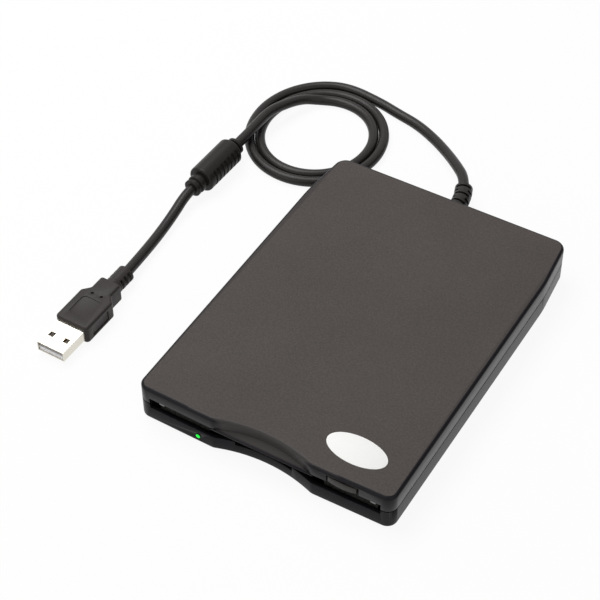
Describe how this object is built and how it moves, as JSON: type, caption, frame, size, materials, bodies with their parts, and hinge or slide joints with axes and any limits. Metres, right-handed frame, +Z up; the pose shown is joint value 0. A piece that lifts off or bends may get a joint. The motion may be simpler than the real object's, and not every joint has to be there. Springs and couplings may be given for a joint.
{
  "type": "external floppy disk drive",
  "caption": "Slim desktop drive for 3.5-inch diskettes, with a scooped entry slot, eject button, activity lamp and a coiled lead ending in a USB plug.",
  "frame": {"origin": "centre of the case's footprint on the surface that it stands on", "axes": "+X to the right as seen from the entry slot, +Y from the slot to the cable end, +Z up"},
  "size_m": [0.1554, 0.1981, 0.017],
  "materials": {
    "case_plastic": "fine-grained matt",
    "case_base_plastic": "smooth satin",
    "button_plastic": "smooth satin",
    "flap_plastic": "fine-grained matt",
    "foot_rubber": "matt",
    "label_film": "satin",
    "lamp_green": "glowing lens",
    "zinc_steel": "zinc-plated sheet",
    "screw_steel": "black-passivated",
    "board_green": "solder mask",
    "chip_black": "matt",
    "can_steel": "satin",
    "socket_white": "satin",
    "ribbon_white": "satin",
    "rotor_steel": "turned",
    "hub_aluminium": "turned",
    "carriage_plastic": "glass-filled",
    "head_ceramic": "lapped",
    "motor_steel": "satin",
    "cord_jacket": "soft satin",
    "plug_moulding": "fine-grained satin",
    "ferrite_grey": "sintered",
    "plug_plate": "nickel-plated",
    "tongue_white": "satin",
    "contact_gold": "gold-plated"
  },
  "bodies": {
    "housing": {"upper_case": "case_plastic", "lower_case": "case_base_plastic", "feet": "foot_rubber", "case_screws": "screw_steel", "label_plate": "label_film", "led_light_pipe": "lamp_green", "led_body": "chip_black", "hinge_lugs": "zinc_steel", "drive_frame": "zinc_steel", "frame_screws": "screw_steel", "top_shield": "zinc_steel", "motor_board": "board_green", "guide_rod": "can_steel", "stepper_motor": "motor_steel", "control_board": "board_green", "usb_board": "board_green", "chips": "chip_black", "crystal_can": "can_steel", "cable_sockets": "socket_white", "flat_cable": "ribbon_white", "cable_relief": "cord_jacket", "cord_lead": "cord_jacket", "cord_coil": "cord_jacket", "cord_bridge": "cord_jacket", "cord_tail": "cord_jacket", "ferrite_cover": "plug_moulding", "ferrite_core": "ferrite_grey", "plug_body": "plug_moulding", "plug_shell": "plug_plate", "plug_tongue": "tongue_white", "plug_contacts": "contact_gold"},
    "slider": {"eject_slider": "zinc_steel", "eject_button": "button_plastic"},
    "holder": {"disk_holder": "zinc_steel", "holder_springs": "zinc_steel"},
    "left_flap": {"entry_flap_left": "flap_plastic"},
    "right_flap": {"entry_flap_right": "flap_plastic"},
    "spindle": {"spindle_rotor": "rotor_steel", "spindle_hub": "hub_aluminium"},
    "carriage": {"head_carriage": "carriage_plastic", "lower_head": "head_ceramic"},
    "head_arm": {"upper_head_arm": "zinc_steel", "upper_head": "head_ceramic"},
    "screw": {"lead_screw": "can_steel"},
    "lever": {"shutter_lever": "carriage_plastic"}
  },
  "joints": [
    {"name": "eject_slide", "type": "slide", "parent": "housing", "child": "slider", "axis": [0, -1, 0], "range_m": [0, 0.0045]},
    {"name": "holder_drop", "type": "slide", "parent": "housing", "child": "holder", "axis": [0, 0, -1], "range_m": [0, 0.002]},
    {"name": "left_flap_swing", "type": "hinge", "parent": "housing", "child": "left_flap", "pos_m": [-0.0326, -0.0685, 0.0115], "axis": [1, 0, 0], "range_deg": [0, 88], "stiffness_Nm_per_rad": 0.0005, "springref_deg": -11.46},
    {"name": "right_flap_swing", "type": "hinge", "parent": "housing", "child": "right_flap", "pos_m": [0.0345, -0.0685, 0.0115], "axis": [1, 0, 0], "range_deg": [0, 88], "stiffness_Nm_per_rad": 0.0005, "springref_deg": -11.46},
    {"name": "spindle_spin", "type": "hinge", "parent": "housing", "child": "spindle", "pos_m": [0, -0.0185, 0.005], "axis": [0, 0, 1], "continuous": true},
    {"name": "head_step", "type": "slide", "parent": "housing", "child": "carriage", "axis": [0, -1, 0], "range_m": [0, 0.015]},
    {"name": "lead_screw_turn", "type": "hinge", "parent": "housing", "child": "screw", "pos_m": [-0.0155, 0.04, 0.0085], "axis": [0, 1, 0], "range_deg": [-10, 1810]},
    {"name": "head_arm_drop", "type": "hinge", "parent": "carriage", "child": "head_arm", "pos_m": [0, 0.046, 0.0118], "axis": [1, 0, 0], "range_deg": [0, 6]},
    {"name": "shutter_lever_swing", "type": "hinge", "parent": "housing", "child": "lever", "pos_m": [0.044, 0.045, 0.01], "axis": [0, 0, -1], "range_deg": [0, 25], "stiffness_Nm_per_rad": 0.001, "springref_deg": -11.46}
  ],
  "couplings": [
    {"joint": "holder_drop", "follows": "eject_slide", "ratio": 0.4444},
    {"joint": "head_arm_drop", "follows": "eject_slide", "rad_per_m": 23.2},
    {"joint": "lead_screw_turn", "follows": "head_step", "rad_per_m": 2094.4}
  ]
}
